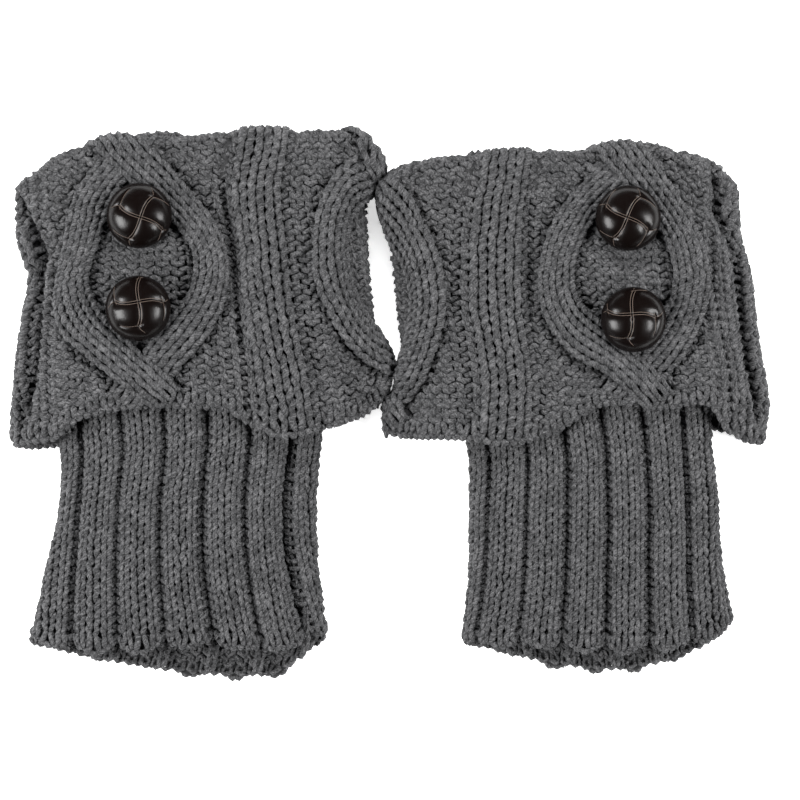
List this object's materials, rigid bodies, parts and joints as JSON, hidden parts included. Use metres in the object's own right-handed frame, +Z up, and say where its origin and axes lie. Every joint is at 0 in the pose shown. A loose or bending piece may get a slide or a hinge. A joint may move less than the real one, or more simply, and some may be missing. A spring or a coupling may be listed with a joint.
{
  "type": "pair of knitted boot cuffs",
  "caption": "Pair of chunky knitted boot cuffs lying flat side by side, each a ribbed tube whose top turns down as a cable knit flap with leather buttons.",
  "frame": {"origin": "on the surface that the cuffs lie on, under the middle of the pair", "axes": "+X across both cuffs, +Y from the ribbed hems to the folded tops, +Z up out of the surface"},
  "size_m": [0.2905, 0.2086, 0.0332],
  "materials": {
    "cable_knit": "matt slate grey acrylic yarn, cable knit on a purl ground",
    "rib_knit": "matt slate grey acrylic yarn, three by one ribbing",
    "button_leather": "glossy dark brown woven leather"
  },
  "bodies": {
    "root": {"left_cable_flap": "cable_knit", "left_ribbed_leg": "rib_knit", "left_upper_button": "button_leather", "left_lower_button": "button_leather", "right_cable_flap": "cable_knit", "right_ribbed_leg": "rib_knit", "right_upper_button": "button_leather", "right_lower_button": "button_leather"}
  },
  "joints": []
}
